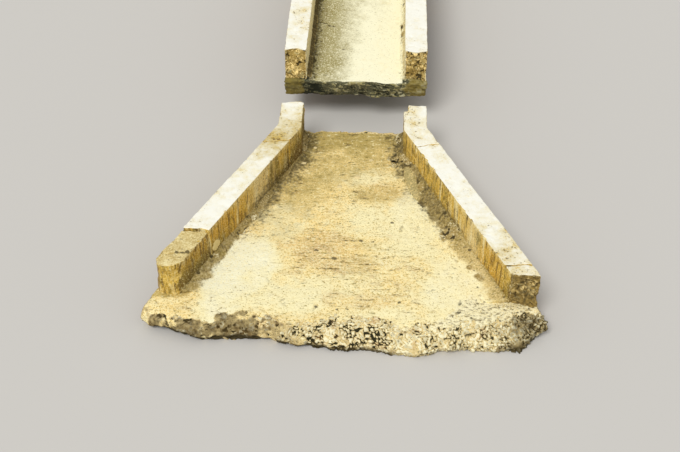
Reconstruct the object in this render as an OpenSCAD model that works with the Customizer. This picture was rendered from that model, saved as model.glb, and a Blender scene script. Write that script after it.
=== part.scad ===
// Flared concrete outlet at the foot of an embankment drainage chute, broken off and settled,
// with the chute's lower bays upslope of it. Millimetres.
// The face of the bank is the plane z = 0. +Y runs up the slope, +X to the right, +Z out of the bank.
// The origin is on the bedding plane, on the centre line, where the outlet's walls start to splay.

/* [Section] */
// Clear width between the walls of the throat and of the chute
inner_w = 400; // [300:10:600]
// Thickness of every cast wall
wall_t = 90; // [60:5:120]
// Height of every wall above its slab
wall_h = 140; // [100:5:250]
// Thickness of the outlet's slab
slab_t = 80; // [60:5:120]
// Thickness of the chute's slab
chute_slab_t = 80; // [60:5:120]

/* [Outlet] */
// Length of the parallel throat upslope of the bend
throat_len = 165; // [120:5:300]
// Length of the flare along the centre line, from the bend to the ends of the wing walls
flare_len = 807; // [500:5:1200]
// Angle that each wing wall turns away from the centre line
flare_deg = 24.4; // [10:0.2:35]
// Distance downslope of the bend of the crack that parts a throat wall from its wing wall
bend_crack = 95; // [40:5:200]
// Length along the centre line of the rebuilt end of the left wing wall
left_end_len = 188; // [100:5:250]
// Length along the centre line of the cracked-off end of the right wing wall
right_end_len = 50; // [30:5:100]

/* [Chute] */
// Number of whole bays of the chute
bays = 2; // [1:1:6]
// Length of one bay
bay_len = 1000; // [600:50:1500]
// Clear distance from the throat's slab to the chute's broken end
chute_gap = 173; // [60:1:300]
// Height of the underside of the chute's slab above the outlet's bedding
chute_rise = 128; // [60:1:200]
// How far the walls of the lowest bay end upslope of their slab's broken end
wall_setback = 18; // [0:1:40]
// Thickness of the cut-off wall under the upslope end of a bay
anchor_t = 150; // [100:10:250]

/* [Mortar] */
// Height of the throat's fillets at its upslope end
throat_fillet_h = 16; // [8:1:40]
// Width of the throat's fillets at its upslope end
throat_fillet_w = 26; // [10:1:60]
// Width and height of the chute's fillets
chute_fillet = 18; // [10:1:40]

/* [Breakage] */
// Depth of the small steps on a broken face
jag = 9; // [2:1:14]
// Spacing of the small steps on a broken face
jag_pitch = 17; // [12:1:30]
// How far the front lip's face bulges at half its height, above the undercut
lip_bulge = 10; // [0:1:25]
// How far the middle of the throat's broken upslope edge stands beyond its corners
edge_swing = 12; // [0:1:30]

/* [Hidden] */

// Concrete that is cut away past the mean line of a break, more than its deepest step
break_reach = 2 * jag;
half_w = inner_w / 2;
half_out = half_w + wall_t;
wall_across = wall_t / cos(flare_deg);
mitre_y = wall_t * tan(flare_deg / 2);
wing_end_y = -flare_len;
left_joint_y = wing_end_y + left_end_len;
right_joint_y = wing_end_y + right_end_len;
bend_y = -bend_crack;
chute_y = throat_len + chute_gap;
chute_top_z = chute_rise + chute_slab_t;

// How far the broken front lip stands beyond the wing walls' ends, in even steps from the left
// corner to the right one: its upper edge, then its lower edge.
lip_upper = [70, 124, 152, 110, 144, 152, 138, 140, 148, 152, 128, 88, 74];
lip_lower = [44, 92, 138, 130, 122, 150, 168, 167, 182, 146, 154, 150, 48];
// Mortar laid along the wing walls' feet, in even steps from the bend to the walls' ends: width on
// the slab, then height on the wall. The right one is a thick haunch with a lump below the bend.
left_fillet_w = [14, 12, 12, 20, 34, 40, 48, 60, 62];
left_fillet_h = [12, 12, 12, 14, 18, 20, 24, 26, 18];
right_fillet_w = [50, 66, 68, 68, 70, 78, 88, 90, 84];
right_fillet_h = [30, 50, 42, 32, 28, 28, 26, 24, 16];
// Piece knocked off the inner corner of the right throat wall: across the wall, then along it
chip = [17, 42];

// Inner face of the wing wall, and its outer face, at a distance y along the centre line
function inner_x(y) = half_w + max(0, -y) * tan(flare_deg);
function outer_x(y) = inner_x(y) + wall_across;
function blend(a, b, s) = a + (b - a) * s;
// Value at s, from 0 to 1, of a list of evenly spaced values joined by straight lines
function along(list, s) =
    let (at = s * (len(list) - 1), low = min(floor(at), len(list) - 2))
    blend(list[low], list[low + 1], at - low);
function within(s) = max(0, min(1, s));
function steps(length) = max(3, round(length / jag_pitch));

// Closed solid skinned through outlines that all have the same number of points
module skin(rings) {
    count = len(rings);
    size = len(rings[0]);
    walls = [for (i = [0 : count - 2], j = [0 : size - 1])
        let (a = i * size + j, b = i * size + (j + 1) % size)
        each [[a, b + size, b], [a, a + size, b + size]]];
    first = [for (j = [0 : size - 1]) j];
    last = [for (j = [size - 1 : -1 : 0]) (count - 1) * size + j];
    polyhedron([for (ring = rings) each ring], concat([first], walls, [last]));
}

// Jagged solid that breaks a slab or wall off. Its upslope side is the broken face: face_y(u, v) is
// the face's mean line at u across the piece and v up it, both from 0 to 1, and across(u, y) places u.
// Steps of depth rough are added, and the upper arris only crumbles back. It overshoots the piece by
// one step on every other side and ends at far_y.
module breaker(wide, tall, far_y, seed, across, face_y, rough = jag) {
    n = steps(wide);
    m = steps(tall);
    noise = rands(-1, 1, (n + 3) * (m + 3), seed);
    skin([for (i = [-1 : n + 1])
        let (u = i / n)
        [
            for (j = [-1 : m + 1])
                let (
                    v = j / m,
                    step = noise[(j + 1) * (n + 3) + i + 1],
                    y = face_y(within(u), within(v)) + rough * (j >= m ? abs(step) : step)
                )
                [across(u, y), y, tall * v],
            [across(u, far_y), far_y, tall * (m + 1) / m],
            [across(u, far_y), far_y, -tall / m]
        ]]);
}

// Straight bar along +Y, broken off at its downslope end
module bar_with_broken_end(wide, tall, length, seed) {
    difference() {
        translate([0, -break_reach, 0]) cube([wide, length + break_reach, tall]);
        breaker(wide, tall, -2 * break_reach - jag, seed,
            function (u, y) u * wide,
            function (u, v) 0);
    }
}

// Mortar fillet laid in the corner of slab and wall. Outlines follow from start_y down to end_y;
// wide(s) and high(s) give its size, and the hollow upper face feathers out towards the slab.
module fillet(start_y, end_y, seed, wide, high) {
    n = steps(abs(end_y - start_y) / 2);
    arc = 5;
    noise = rands(-1, 1, 2 * (n + 1), seed);
    skin([for (i = [0 : n])
        let (
            s = i / n,
            y = blend(start_y, end_y, s),
            calm = i == 0 || i == n ? 0 : 0.12,
            w = wide(s) * (1 + calm * noise[2 * i]),
            h = high(s) * (1 + calm * noise[2 * i + 1])
        )
        [
            [inner_x(y), y, 0],
            [inner_x(y) - w, y, 0],
            for (j = [1 : arc]) let (t = j / arc) [inner_x(y) - w * (1 - t), y, h * pow(t, 2)]
        ]]);
}

module sided(side) {
    mirror([side < 0 ? 1 : 0, 0, 0]) children();
}

module on_outlet() translate([0, 0, slab_t]) children();
module on_chute(bay) translate([0, chute_y + (bay - 1) * bay_len, chute_top_z]) children();

// One casting: throat and flare, flush with the outer faces of the walls that stand on it
module apron_slab() {
    lip_end = wing_end_y - max(concat(lip_upper, lip_lower)) - lip_bulge - break_reach;
    throat_end = throat_len + edge_swing + break_reach;
    color("khaki") difference() {
        linear_extrude(slab_t) polygon([
            [half_out, throat_end],
            [half_out, mitre_y],
            [outer_x(lip_end), lip_end],
            [-outer_x(lip_end), lip_end],
            [-half_out, mitre_y],
            [-half_out, throat_end]
        ]);
        breaker(2 * outer_x(wing_end_y), slab_t, lip_end - break_reach, 11,
            function (u, y) (2 * u - 1) * outer_x(y),
            function (u, v) wing_end_y - lip_bulge * sin(180 * v)
                - blend(along(lip_lower, u), along(lip_upper, u), v));
        mirror([0, 1, 0])
            breaker(2 * half_out, slab_t, -throat_end - break_reach, 12,
                function (u, y) (2 * u - 1) * half_out,
                function (u, v) -throat_len - edge_swing * (sin(180 * u) - 0.5));
    }
}

// Throat wall, mitred at the bend and running on to the crack, with a broken upslope end;
// knocked_off clips its inner corner
module throat_wall(side, seed, knocked_off) {
    top_y = throat_len + break_reach;
    color("ivory") on_outlet() sided(side) difference() {
        linear_extrude(wall_h) polygon([
            [half_w, 0],
            [inner_x(bend_y), bend_y],
            [outer_x(bend_y), bend_y],
            [half_out, mitre_y],
            [half_out, top_y],
            if (knocked_off) [half_w + chip.x, top_y],
            if (knocked_off) [half_w + chip.x, throat_len],
            [half_w, knocked_off ? throat_len - chip.y : top_y]
        ]);
        mirror([0, 1, 0])
            breaker(wall_t, wall_h, -top_y - break_reach, seed,
                function (u, y) half_w + u * wall_t,
                function (u, v) -throat_len);
    }
}

module left_throat_wall() throat_wall(-1, 21, false);
module right_throat_wall() throat_wall(1, 22, true);

// Splayed wall from the crack below the bend down to its joint with the end piece
module wing_wall(side, joint_y) {
    color("ivory") on_outlet() sided(side) linear_extrude(wall_h) polygon([
        [inner_x(bend_y), bend_y],
        [inner_x(joint_y), joint_y],
        [outer_x(joint_y), joint_y],
        [outer_x(bend_y), bend_y]
    ]);
}

module left_wing_wall() wing_wall(-1, left_joint_y);
module right_wing_wall() wing_wall(1, right_joint_y);

// Last stretch of a wing wall, with a broken end face
module wing_end(side, joint_y, seed) {
    cut_y = wing_end_y - break_reach;
    on_outlet() sided(side) difference() {
        linear_extrude(wall_h) polygon([
            [inner_x(joint_y), joint_y],
            [inner_x(cut_y), cut_y],
            [outer_x(cut_y), cut_y],
            [outer_x(joint_y), joint_y]
        ]);
        breaker(wall_across, wall_h, cut_y - break_reach, seed,
            function (u, y) blend(inner_x(y), outer_x(y), u),
            function (u, v) wing_end_y);
    }
}

module left_wing_end() color("tan") wing_end(-1, left_joint_y, 31);
module right_wing_end() color("ivory") wing_end(1, right_joint_y, 32);

module throat_fillet(side, seed, bend_w, bend_h) {
    color("darkkhaki") on_outlet() sided(side)
        fillet(throat_len - break_reach, 0, seed,
            function (s) blend(throat_fillet_w, bend_w, s),
            function (s) blend(throat_fillet_h, bend_h, s));
}

module left_throat_fillet() throat_fillet(-1, 41, left_fillet_w[0], left_fillet_h[0]);
module right_throat_fillet() throat_fillet(1, 42, right_fillet_w[0], right_fillet_h[0]);

module wing_fillet(side, seed, widths, heights) {
    color("darkkhaki") on_outlet() sided(side)
        fillet(0, wing_end_y + jag, seed,
            function (s) along(widths, s),
            function (s) along(heights, s));
}

module left_wing_fillet() wing_fillet(-1, 43, left_fillet_w, left_fillet_h);
module right_wing_fillet() wing_fillet(1, 44, right_fillet_w, right_fillet_h);

module chute_slab(bay) {
    color("khaki") on_chute(bay) translate([-half_out, 0, -chute_slab_t])
        if (bay == 1) bar_with_broken_end(2 * half_out, chute_slab_t, bay_len, 51);
        else cube([2 * half_out, bay_len, chute_slab_t]);
}

// The walls of the lowest bay broke off a little upslope of their slab
module chute_wall(side, bay) {
    setback = bay == 1 ? wall_setback : 0;
    color("ivory") on_chute(bay) sided(side) translate([half_w, setback, 0])
        if (bay == 1) bar_with_broken_end(wall_t, wall_h, bay_len - setback, 60 + side);
        else cube([wall_t, bay_len, wall_h]);
}

module chute_fillet_strip(side, bay) {
    start = bay == 1 ? wall_setback + jag : 0;
    color("darkkhaki") on_chute(bay) sided(side)
        fillet(bay_len, start, 70 + 2 * bay + side,
            function (s) chute_fillet,
            function (s) chute_fillet);
}

// Cut-off wall keyed into the bank, carrying the upslope end of a bay
module chute_anchor(bay) {
    color("tan") translate([-half_out, chute_y + bay * bay_len - anchor_t, 0])
        cube([2 * half_out, anchor_t, chute_rise]);
}

apron_slab();
left_throat_wall();
right_throat_wall();
left_wing_wall();
right_wing_wall();
left_wing_end();
right_wing_end();
left_throat_fillet();
right_throat_fillet();
left_wing_fillet();
right_wing_fillet();
for (bay = [1 : bays]) {
    chute_slab(bay);
    chute_wall(-1, bay);
    chute_wall(1, bay);
    chute_fillet_strip(-1, bay);
    chute_fillet_strip(1, bay);
    chute_anchor(bay);
}
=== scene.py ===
"""Finished surfaces of a flared concrete outlet and the drainage chute above it, built on their frame."""
from functools import cache
from itertools import product
from math import pi, radians

import bpy
import numpy as np
from bpy.props import FloatProperty, FloatVectorProperty, IntProperty, PointerProperty
from bpy.types import NodeSocket, Operator, Panel, PropertyGroup
from mathutils import Matrix, Vector


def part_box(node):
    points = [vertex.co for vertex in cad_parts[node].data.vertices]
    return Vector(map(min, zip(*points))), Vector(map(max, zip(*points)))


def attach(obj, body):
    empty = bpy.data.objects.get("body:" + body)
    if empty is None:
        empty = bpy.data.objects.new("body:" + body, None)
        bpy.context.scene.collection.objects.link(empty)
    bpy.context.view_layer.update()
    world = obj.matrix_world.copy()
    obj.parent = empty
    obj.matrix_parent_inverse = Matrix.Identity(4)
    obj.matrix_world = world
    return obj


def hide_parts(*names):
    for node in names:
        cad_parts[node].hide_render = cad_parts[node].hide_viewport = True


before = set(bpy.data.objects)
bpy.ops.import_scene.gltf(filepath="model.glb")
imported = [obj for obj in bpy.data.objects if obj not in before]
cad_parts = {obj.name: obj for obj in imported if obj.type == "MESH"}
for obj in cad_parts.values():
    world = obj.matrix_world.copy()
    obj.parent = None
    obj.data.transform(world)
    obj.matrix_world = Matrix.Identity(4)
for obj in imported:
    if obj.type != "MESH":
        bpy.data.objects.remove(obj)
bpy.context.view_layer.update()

bl_info = {
    "name": "Drainage chute outlet",
    "version": (1, 0, 0),
    "blender": (4, 5, 0),
    "location": "View3D > Sidebar > Outlet",
    "description": "Weathered concrete surfaces for the flared outlet of a drainage chute",
    "category": "Object",
}

BODY = "root"
LEFT, RIGHT = -1, 1
SIDES = {"left": LEFT, "right": RIGHT}
BAYS = range(1, 1 + sum(node.startswith("chute_slab_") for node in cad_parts))

# Lowest and highest corners of the frame's nodes that the sizes below are taken from.
CHUTE_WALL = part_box("chute_right_wall_2")
CHUTE_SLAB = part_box("chute_slab_2")
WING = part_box("right_wing_wall")
LEFT_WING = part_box("left_wing_wall")
HALF_WIDTH = CHUTE_WALL[0].x
FLARE_SLOPE = (WING[0].x - HALF_WIDTH) / -WING[1].y


def linear(code):
    """A colour written as sRGB hex, as the linear red, green and blue that shaders use."""
    parts = np.array([int(code[i:i + 2], 16) for i in (1, 3, 5)]) / 255
    return tuple(np.where(parts <= 0.04045, parts / 12.92, ((parts + 0.055) / 1.055) ** 2.4))


def length(name, about, default):
    """A length in metres that a user may change."""
    return FloatProperty(name=name, description=about, default=default, min=0, unit="LENGTH", precision=4)


def colour(name, about, code):
    """A colour that a user may change, with its default in sRGB hex."""
    return FloatVectorProperty(name=name, description=about, default=linear(code), subtype="COLOR",
                               size=3, min=0, max=1)


class OutletSizes(PropertyGroup):
    """Sizes of the outlet and the chute, most of them taken from the frame."""
    half_width: length("Half width", "From the centre line to a throat wall's inner face", HALF_WIDTH)
    wall: length("Wall thickness", "Square across any wall", CHUTE_WALL[1].x - HALF_WIDTH)
    wall_height: length("Wall height", "Above the slab", CHUTE_WALL[1].z - CHUTE_WALL[0].z)
    slab: length("Slab thickness", "Of the outlet", WING[0].z)
    chute_slab: length("Chute slab thickness", "Of the chute", CHUTE_SLAB[1].z - CHUTE_SLAB[0].z)
    chute_top: length("Chute top", "Height of the chute slab's top", CHUTE_WALL[0].z)
    bay: length("Bay", "Length of one bay of the chute", CHUTE_SLAB[1].y - CHUTE_SLAB[0].y)
    throat: length("Throat", "From the bend to the throat's broken upslope edge", 0.165)
    flare: length("Flare", "Along the centre line, from the bend to the wing walls' ends", 0.807)
    chute_gap: length("Chute gap", "From the throat's edge to the chute's broken end", 0.173)
    setback: length("Setback", "How far the lowest bay's walls end behind their slab", 0.018)
    edge_swing: length("Edge swing", "How far the throat's broken edge bows", 0.012)
    lip_bulge: length("Lip bulge", "How far the lip's face bulges at half its height", 0.010)


class OutletWear(PropertyGroup):
    """Sizes of the breaks and of the weathering, which the eye reads as old concrete."""
    stone: length("Stone", "Spacing of the coarse stones in the concrete", 0.0150)
    gravel: length("Gravel", "Spacing of the fine stones between them", 0.0085)
    stone_relief: length("Stone relief", "How far stones stand out of a break", 0.007)
    tear: length("Tear", "How far a broken edge wanders", 0.010)
    arris: length("Arris", "Rounding of the walls' long edges", 0.0035)
    coat: length("Coat", "Thickness of the plaster coat that shows round a wall's broken end", 0.004)
    lip_drop: length("Lip drop", "How far the lip's upper edge has crumbled down", 0.022)
    lip_round: length("Lip rounding", "How far back the lip's crumbling reaches", 0.040)
    crack: length("Crack", "Width of one side of a crack across a wall", 0.0022)
    wander: length("Wander", "How far a crack wanders from its mean line", 0.006)
    bury: length("Bury", "How deep a piece's foot is let into what carries it", 0.004)
    grid: length("Grid", "Spacing of the surface points on what shows most", 0.0042)
    fine_grid: length("Fine grid", "Spacing of the surface points along breaks and arrises", 0.0026)
    seed: IntProperty(name="Seed", description="Start of every random pattern", default=7)


class OutletColours(PropertyGroup):
    """Colours of the finishes."""
    limewash: colour("Limewash", "Whitewashed wall tops", "#FCFAEC")
    limewash_worn: colour("Worn limewash", "Where the wash is thin", "#F1E6BC")
    face_light: colour("Wall face, light", "Lime runs on the wall faces", "#EFDFA4")
    face_sand: colour("Wall face, sand", "Common tone of the wall faces", "#DCB751")
    face_ochre: colour("Wall face, ochre", "Iron-stained wall faces", "#D2A034")
    face_olive: colour("Wall face, olive", "Algae on the wall faces", "#8B7A38")
    face_dark: colour("Wall face, dark", "Dark runs on the wall faces", "#6B5224")
    grime: colour("Grime", "Dirt at the feet of the walls and in pits", "#4A4024")
    apron_pale: colour("Apron, pale", "Washed concrete of the apron", "#FFF4C0")
    apron_sand: colour("Apron, sand", "Common tone of the apron", "#FFE298")
    apron_olive: colour("Apron, olive", "Algae-darkened concrete of the throat", "#C2AA62")
    rust: colour("Rust brown", "Soil and iron stains", "#C8955A")
    stone_pale: colour("Stone, pale", "Cream gravel in the breaks", "#FFF6CC")
    stone_grey: colour("Stone, grey", "Grey gravel in the breaks", "#DFD5AC")
    paste: colour("Paste", "Cement paste between the stones", "#E6CE90")
    paste_dark: colour("Paste, dark", "Soil-stained paste of the walls' breaks", "#B0944F")
    # Moss lies in the breaks' gaps, and is also laid as painted shade at the foot of the apron's lip.
    moss_and_shade: colour("Moss", "Green-black growth in the gaps", "#2E2C16")
    mortar: colour("Mortar", "Hand-laid fillets", "#AD965B")
    mortar_grey: colour("Mortar, grey", "Clean lump of mortar", "#B3A46F")
    patch: colour("Patch", "Concrete of the rebuilt end", "#DFCA8C")
    chute_pale: colour("Chute, pale", "Clean side of the chute's slab", "#FFFBDA")
    chute_grey: colour("Chute, grey", "Damp side of the chute's slab", "#ADA370")
    # The break's dark colours stand for damp and, in part, for painted shade under its undercut.
    slate: colour("Slate", "Damp grey break of the chute's slab", "#605F48")
    slate_pale: colour("Slate, pale", "Ridges and stones of the chute slab's break", "#BCB898")
    slate_dark: colour("Slate, dark", "Wet hollows of the chute slab's break", "#292B1C")
    earth: colour("Earth", "Soil stain on buried faces", "#8A6540")


class OutletStage(PropertyGroup):
    """Floor, light, and the camera at the photograph's view."""
    floor: colour("Floor", "Plain pale floor", "#CDCAC4")
    reach: length("Reach", "Half the floor's width", 30.0)
    sky: FloatProperty(name="Sky", description="Strength of the light from all round", default=0.56, min=0)
    sun: FloatProperty(name="Sun", description="Strength of the light from above", default=1.80, min=0)
    sun_size: FloatProperty(name="Sun size", description="Angle that softens the shadows",
                            default=radians(25), subtype="ANGLE")
    sun_from: FloatVectorProperty(name="Sun from", description="Direction that the sun stands in",
                                  default=(-0.30, -0.66, 1.0), subtype="DIRECTION")
    camera: FloatVectorProperty(name="Camera", description="Where the photograph was taken from",
                                default=(0.114, -3.774, 2.990), subtype="TRANSLATION")
    yaw: FloatProperty(name="Yaw", description="Turn to the left", default=radians(2.47), subtype="ANGLE")
    pitch: FloatProperty(name="Pitch", description="Tilt down", default=radians(40.91), subtype="ANGLE")
    lens: FloatProperty(name="Lens", description="Focal length in millimetres", default=63.53, min=10)


# How far the broken front lip stands beyond the wing walls' ends, in even steps from the left corner
# to the right one: its upper edge, then its lower edge. Metres.
LIP_UPPER = (0.070, 0.124, 0.152, 0.110, 0.144, 0.152, 0.138, 0.140, 0.148, 0.152, 0.128, 0.088, 0.074)
LIP_LOWER = (0.044, 0.092, 0.138, 0.130, 0.122, 0.150, 0.168, 0.167, 0.182, 0.146, 0.154, 0.150, 0.048)
# Mortar along the outlet walls' feet, in even steps from the bend to the wing walls' ends: its width and
# height in metres, then the dirt on it, the dirt along its toe and how much of it is left, from 0 to 1.
FILLETS = {
    LEFT: {
        "width": (0.014, 0.012, 0.012, 0.020, 0.034, 0.040, 0.048, 0.060, 0.062),
        "height": (0.012, 0.012, 0.012, 0.014, 0.018, 0.020, 0.024, 0.026, 0.018),
        "dirt": (0.5, 0.6, 0.6, 0.5, 0.5, 0.5, 0.5, 0.5, 0.5),
        "toe": (0.0, 0.2, 0.4, 0.4, 0.3, 0.0, 0.0, 0.0, 0.0),
        "kept": (0.2, 0.8, 1.0, 1.0, 1.0, 1.0, 1.0, 0.9, 0.8),
    },
    RIGHT: {
        "width": (0.062, 0.082, 0.082, 0.080, 0.078, 0.080, 0.088, 0.090, 0.084),
        "height": (0.030, 0.050, 0.042, 0.032, 0.028, 0.028, 0.026, 0.024, 0.016),
        "dirt": (0.6, 0.6, 0.7, 0.7, 0.6, 0.4, 0.2, 0.1, 0.1),
        "toe": (0.5, 0.9, 0.9, 0.6, 0.3, 0.1, 0.0, 0.0, 0.0),
        "kept": (0.3, 0.9, 1.0, 1.0, 0.9, 0.8, 0.7, 0.7, 0.6),
    },
}
# Width and height of the throat's fillets at their upslope end. Their other rows are as at the bend.
THROAT_FILLET = {"width": 0.026, "height": 0.016}
# The chute's fillets are even from end to end.
CHUTE_FILLETS = {
    LEFT: {"width": 0.018, "height": 0.018, "dirt": 0.9, "toe": 0.9, "kept": 1.0},
    RIGHT: {"width": 0.018, "height": 0.018, "dirt": 0.0, "toe": 0.6, "kept": 0.3},
}
# Piece knocked off the inner corner of the right throat wall: across the wall, then along it.
CHIP = (0.017, 0.042)
# Cracks across the walls below the bend, then joints of the wing walls with their ends: place on the
# centre line, slant from the inner to the outer face, and seed.
BENDS = {LEFT: (WING[1].y, -0.014, 301), RIGHT: (WING[1].y, 0.023, 302)}
JOINTS = {LEFT: (LEFT_WING[0].y, 0.010, 303), RIGHT: (WING[0].y, 0.004, 304)}

# Weathering of the walls, in even steps from the throat's edge to the wing walls' ends, from 0, none,
# to 1, strong, or a little over: dirt on their tops and broken ends, then what is on their inner faces,
# which is algae, iron stain, pocks at the foot and limewash.
WEATHER = {
    LEFT: {
        "dirt": (0.4, 0.8, 1.0, 0.75, 0.4, 0.15, 0.1, 0.3, 0.3),
        "algae": (1.3, 1.3, 1.0, 0.6, 0.4, 0.4, 0.7, 0.9, 1.0),
        "iron": (0.0, 0.0, 0.1, 0.2, 0.4, 0.8, 1.0, 1.0, 0.8),
        "pocks": (0.2, 0.4, 0.8, 1.0, 0.9, 0.4, 0.4, 0.7, 0.5),
        "lime": (0.0, 0.0, 0.2, 0.6, 0.7, 0.4, 0.0, 0.0, 0.0),
    },
    RIGHT: {
        "dirt": (0.4, 0.5, 0.3, 0.1, 0.0, 0.2, 0.6, 0.7, 0.6),
        "algae": (0.9, 0.7, 0.5, 0.4, 0.4, 0.2, 0.0, 0.3, 0.8),
        "iron": (0.3, 0.6, 0.5, 0.2, 0.2, 0.4, 0.6, 0.9, 0.5),
        "pocks": (0.2, 0.2, 0.5, 0.8, 1.0, 1.0, 0.5, 0.2, 0.2),
        "lime": (0.0, 0.0, 0.0, 0.0, 0.2, 0.5, 0.7, 0.3, 0.0),
    },
}
# The chute's walls are even from end to end.
CHUTE_WEATHER = {
    LEFT: {"dirt": 0.2, "algae": 0.4, "iron": 0.0, "pocks": 0.3, "lime": 0.9},
    RIGHT: {"dirt": 0.0, "algae": 0.2, "iron": 0.2, "pocks": 0.3, "lime": 0.9},
}

# Stains on the apron, as soft ellipses: x, y, half width, half length, strength.
PALE_SPOTS = (
    (-0.41, -0.66, 0.13, 0.20, 1.6), (0.39, -0.76, 0.15, 0.17, 0.9), (-0.24, -0.36, 0.10, 0.15, 0.6),
    (0.26, -0.45, 0.10, 0.16, 0.7), (0.10, -0.34, 0.10, 0.12, 0.4), (-0.20, -0.80, 0.16, 0.09, 0.7),
    (0.48, -0.91, 0.14, 0.06, 0.8), (0.16, -0.87, 0.16, 0.05, 0.5), (0.02, -0.13, 0.12, 0.06, 0.4),
    (0.22, -0.30, 0.07, 0.13, 0.9),
)
SOIL_SPOTS = (
    (-0.10, -0.53, 0.12, 0.08, 1.0), (0.02, -0.63, 0.16, 0.06, 0.9), (0.07, -0.805, 0.17, 0.040, 0.7),
    (-0.29, -0.93, 0.12, 0.04, 0.9), (0.15, -0.22, 0.08, 0.06, 0.7), (-0.10, -0.93, 0.12, 0.03, 0.5),
    (0.17, -0.72, 0.12, 0.04, 0.5), (-0.22, -0.53, 0.05, 0.03, 0.8),
)
DAMP_SPOTS = (
    (0.0, 0.14, 0.30, 0.17, 0.9), (-0.04, -0.05, 0.26, 0.16, 0.6), (-0.18, -0.22, 0.13, 0.16, 0.6),
    (0.11, -0.22, 0.11, 0.08, 0.5), (-0.26, -0.36, 0.10, 0.14, 0.4), (0.04, -0.60, 0.08, 0.10, 0.3),
)
# Holes beside the right throat wall, where the slab has parted from the mortar: x, y, radius.
HOLES = ((0.163, -0.018, 0.011), (0.184, 0.074, 0.010), (0.190, 0.046, 0.007))
# Single stones that lie bare in the apron, white ones and dark ones: x, y, radius.
WHITE_STONES = ((0.051, -0.796, 0.011), (0.093, -0.691, 0.010), (-0.189, -0.046, 0.009),
                (0.024, -0.128, 0.012), (-0.150, 0.055, 0.007), (-0.041, -0.190, 0.011),
                (0.075, -0.016, 0.008))
DARK_STONES = ((-0.044, -0.600, 0.011), (0.050, -0.500, 0.008), (-0.095, -0.847, 0.008),
               (0.190, -0.815, 0.009), (-0.110, -0.560, 0.009), (-0.022, -0.858, 0.006),
               (0.161, -0.394, 0.008), (0.093, -0.503, 0.006))
# Scratches in the apron, then hair cracks in the lowest chute slab: from x, y to x, y.
SCRATCHES = ((0.000, -0.060, 0.028, -0.105), (-0.200, -0.498, -0.117, -0.505),
             (-0.198, -0.645, -0.163, -0.646), (-0.113, -0.656, -0.037, -0.690),
             (0.008, -0.666, 0.080, -0.664), (-0.070, 0.052, -0.020, 0.060),
             (0.040, 0.020, 0.085, 0.012), (-0.300, -0.620, -0.255, -0.640))
HAIR_CRACKS = ((-0.185, 0.805, -0.104, 0.762), (-0.060, 0.583, 0.041, 0.605), (-0.19, 0.395, -0.12, 0.385),
               (-0.160, 0.640, -0.125, 0.665))
# Upslope strip of the throat that was trowelled a little lower: from y, from x.
STRIP = (0.118, -0.100)
# Lump of grey mortar on the right fillet below the bend, as an ellipse whose axis leans with the wall:
# x, y, half width, half length, lean.
HAUNCH = (0.236, -0.176, 0.020, 0.100, 0.25)
# Daub of pale mortar on the left wing wall's inner face: y, height over the apron, radius.
WALL_DAUB = (-0.593, 0.045, 0.022)
# Groove across the top of the rebuilt left end: y, half width. Then the dark stones in it: x, y, radius.
GROOVE = (-0.740, 0.007)
GROOVE_STONES = ((-0.562, -0.744, 0.010), (-0.545, -0.738, 0.009), (-0.580, -0.740, 0.007))

# Heights and depths of the small forms on the walls, in metres.
BOARD_PRINTS = 0.0007
FOOT_POCKS = 0.004
OUTER_ROUGHNESS = 0.0015
TOP_SPALLS = 0.0015
HAND_SHAPING = 0.0035
DAUB_THICKNESS = 0.004
GROOVE_DEPTH = 0.006
# The same for the mortar, down to the thickness in which it ends on its slab.
MORTAR_LUMPS = 0.0018
MORTAR_POCKS = 0.003
MORTAR_HOLES = 0.012
HAUNCH_HEIGHT = 0.012
FEATHER = 0.0004
# The same for the slabs and their breaks.
RAIN_WEAR = 0.0009
TROWEL_MARKS = 0.0010
SLAB_POCKS = 0.003
SLAB_HOLES = 0.010
STRIP_DEPTH = 0.003
SCRATCH_DEPTH = 0.0015
HAIR_CRACK_DEPTH = 0.001
LIP_SETBACK = 0.001
CHUTE_UNDERCUT = 0.022
CHUTE_RIDGES = 0.003
CHUTE_TEARS = 0.005
# The same for the sides of the cut-off walls, cast against the earth.
TRENCH_SWELL = 0.006

# Turn of the noise's grid, so that its cells don't line up with the walls.
SKEW = np.array(Matrix.Rotation(0.6, 3, Vector((1, 2, 3))))
# Odd numbers that scatter a cell's place along each axis, then a seed, and then mix the two, all within
# words of 32 bits.
AXIS_SCATTER = (73856093, 19349663, 83492791)
SEED_SCATTER = 2654435761
MIXER = 1274126177
WORD = 0xFFFFFFFF


def blend(a, b, t):
    """a where t is 0 and b where it is 1, in a straight line between and beyond them."""
    return a + (b - a) * t


def smooth(edge0, edge1, value):
    """0 at edge0, 1 at edge1 and the cubic 3t^2 - 2t^3 between them. The edges may stand either way round."""
    t = np.clip((value - edge0) / (edge1 - edge0), 0, 1)
    return t * t * (3 - 2 * t)


def hashed(cells, seed):
    """A number from 0 to 1 for each whole-number cell, by multiplying, folding and shifting its bits."""
    mixed = seed * SEED_SCATTER
    for axis in range(3):
        mixed = mixed ^ (cells[:, axis] * AXIS_SCATTER[axis])
    mixed = mixed & WORD
    mixed = ((mixed ^ (mixed >> 13)) * MIXER) & WORD
    return (mixed ^ (mixed >> 16)) / WORD


def noise(points, size, seed):
    """Smooth noise from -1 to 1: each corner of the cells of the given size has a hashed value, and a
    point takes the mean of its cell's corners, weighted by cubic curves of its place in the cell."""
    spots = points @ SKEW / size
    cells = np.floor(spots).astype(np.int64)
    t = smooth(0, 1, spots - cells)
    total = np.zeros(len(points))
    for corner in product((0, 1), repeat=3):
        weight = np.prod(np.where(corner, t, 1 - t), axis=1)
        total += weight * hashed(cells + corner, seed)
    return 2 * total - 1


def fractal(points, size, seed, octaves=4):
    """Sum of noises, each half as large in size and in strength as the one before."""
    return sum(noise(points, size / 2 ** k, seed + k) / 2 ** k for k in range(octaves))


def pocks(points, size, seed):
    """Depth, from 0 to 1, of ragged hollows where a noise of the given size peaks."""
    return smooth(0.45, 0.95, fractal(points, size, seed, 3))


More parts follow.
